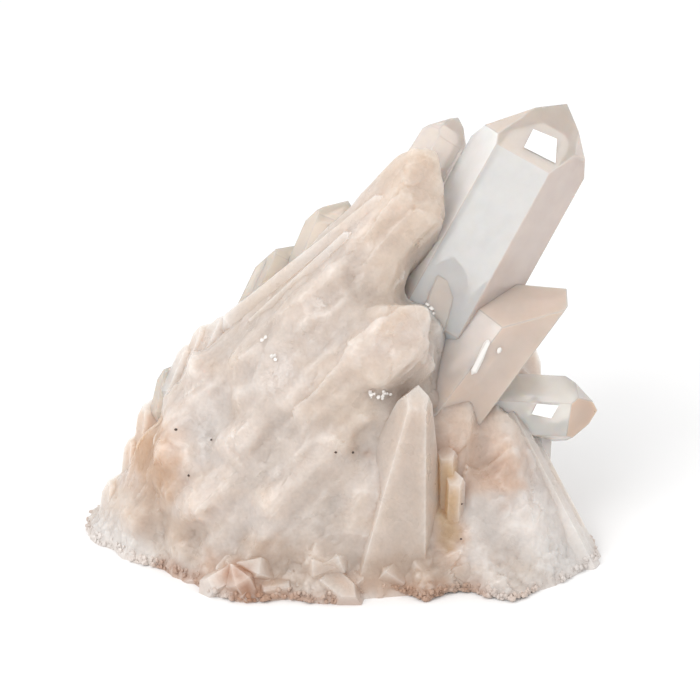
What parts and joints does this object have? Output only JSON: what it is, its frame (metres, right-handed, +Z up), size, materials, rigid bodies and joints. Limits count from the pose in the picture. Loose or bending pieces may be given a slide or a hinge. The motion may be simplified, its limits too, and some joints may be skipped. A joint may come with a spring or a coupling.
{
  "type": "quartz crystal cluster",
  "caption": "Natural cluster of milky and clear quartz crystals, intergrown and leaning to one side, standing on its flat broken base.",
  "frame": {"origin": "on the surface that the cluster stands on, under the middle of its bounding box", "axes": "+Z up, -Y towards the display side, +X the way the tall clear crystal leans"},
  "size_m": [0.1163, 0.0788, 0.096],
  "materials": {
    "quartz": "glassy crystal faces, clear at the tall points and milky pale pink below, with iron staining"
  },
  "bodies": {
    "root": {"quartz_cluster": "quartz"}
  },
  "joints": []
}
